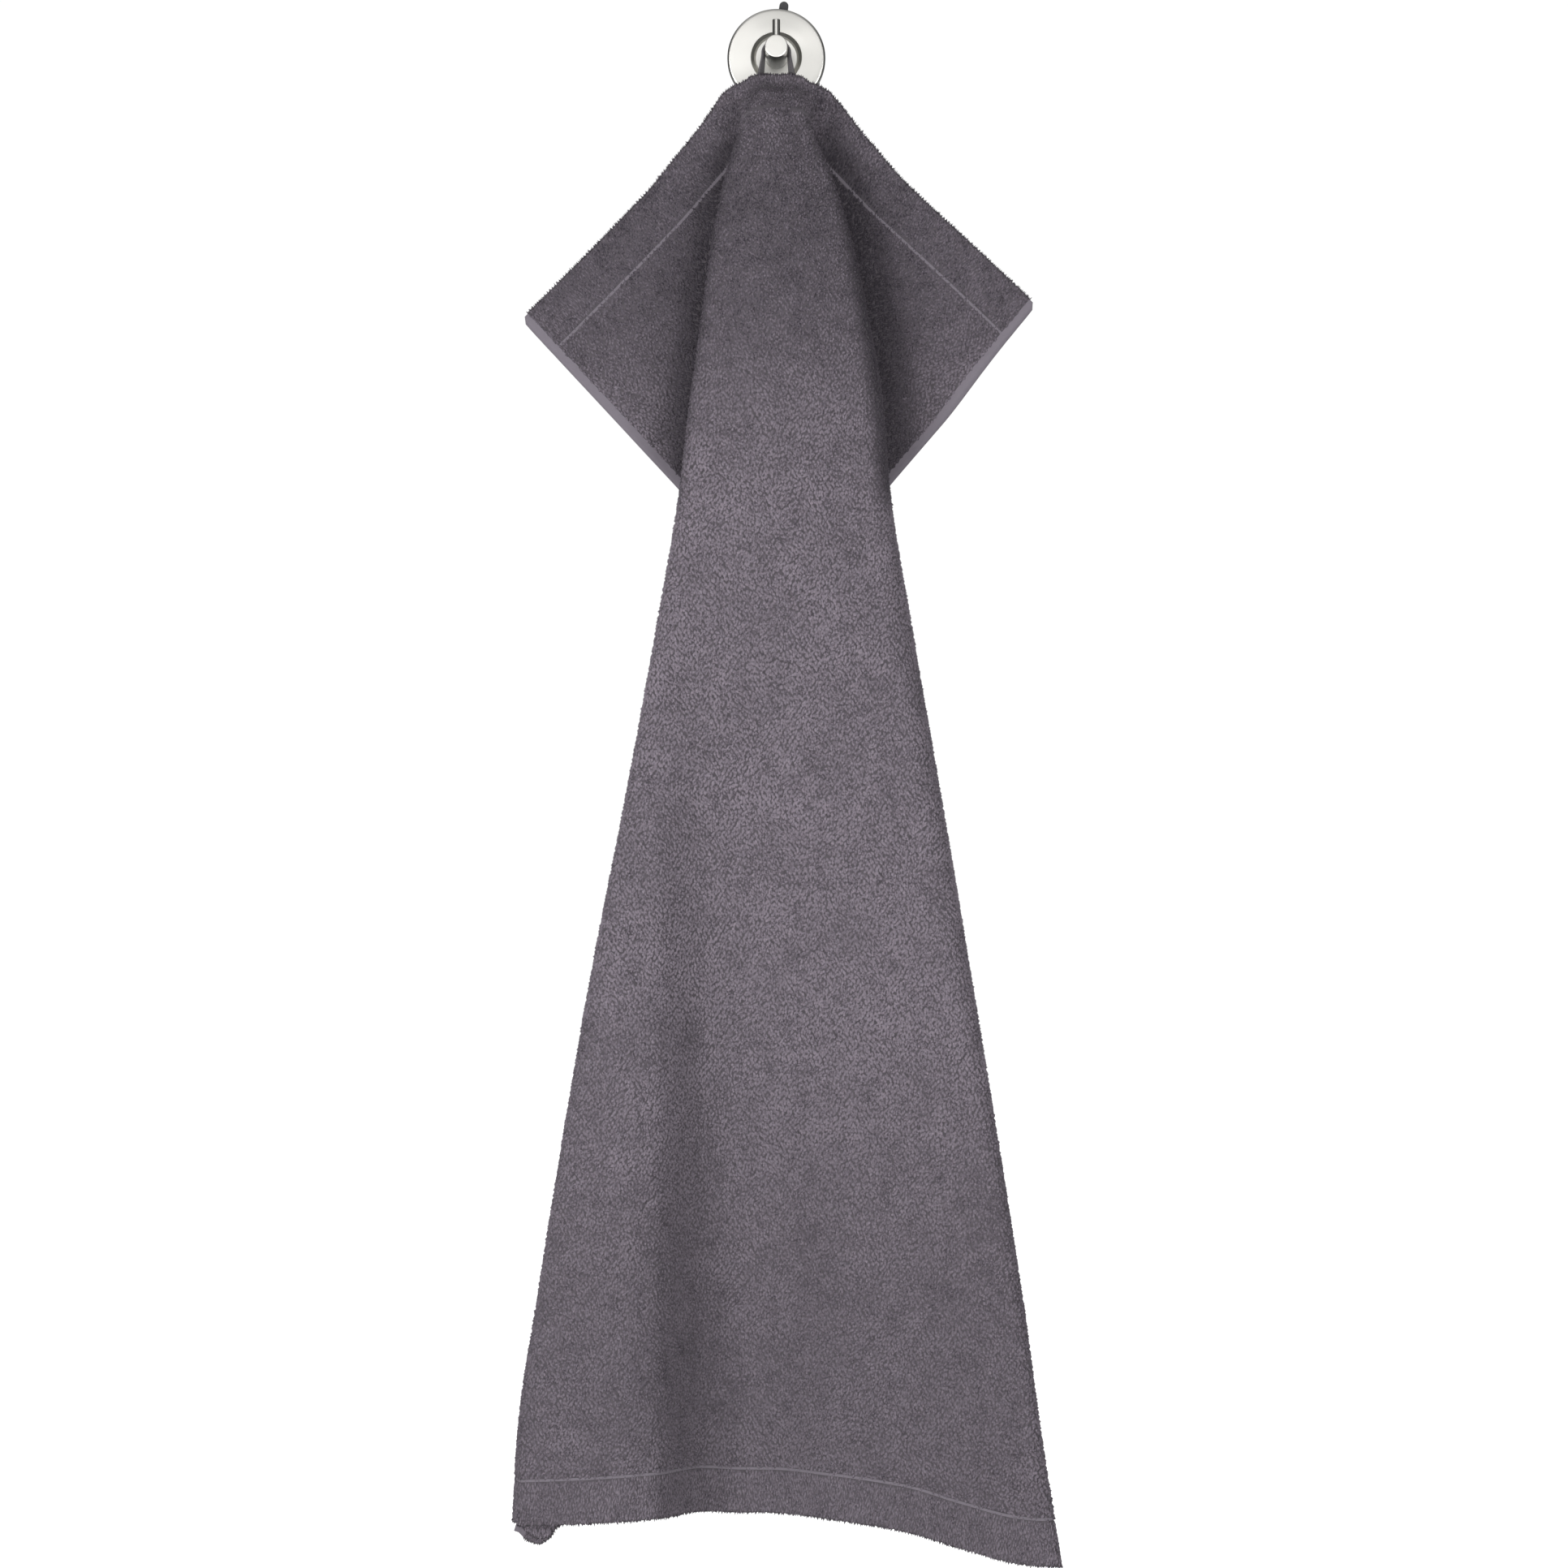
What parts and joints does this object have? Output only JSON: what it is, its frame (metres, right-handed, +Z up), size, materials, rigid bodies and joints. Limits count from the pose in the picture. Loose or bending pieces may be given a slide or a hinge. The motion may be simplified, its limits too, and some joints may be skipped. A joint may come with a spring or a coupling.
{
  "type": "hand towel on a hook",
  "caption": "Terry hand towel hung by its tape loop from a round steel suction hook, its top corners draped behind the front panel.",
  "frame": {"origin": "centre of the hook's flat back, on the wall plane", "axes": "+Y into the wall, the towel hangs in front of it towards -Y; +Z up; +X to the viewer's right"},
  "size_m": [0.3719, 0.1087, 1.0651],
  "materials": {
    "terry": "cotton terry loops, grey with a purple cast",
    "tape": "flat woven cotton tape",
    "satin_steel": "satin",
    "bright_steel": "polished",
    "rubber": "matte"
  },
  "bodies": {
    "root": {"towel": "terry", "hanger_loop": "tape", "hook_cover": "satin_steel", "hook_peg": "satin_steel", "peg_pin": "bright_steel", "suction_cup": "rubber"}
  },
  "joints": []
}
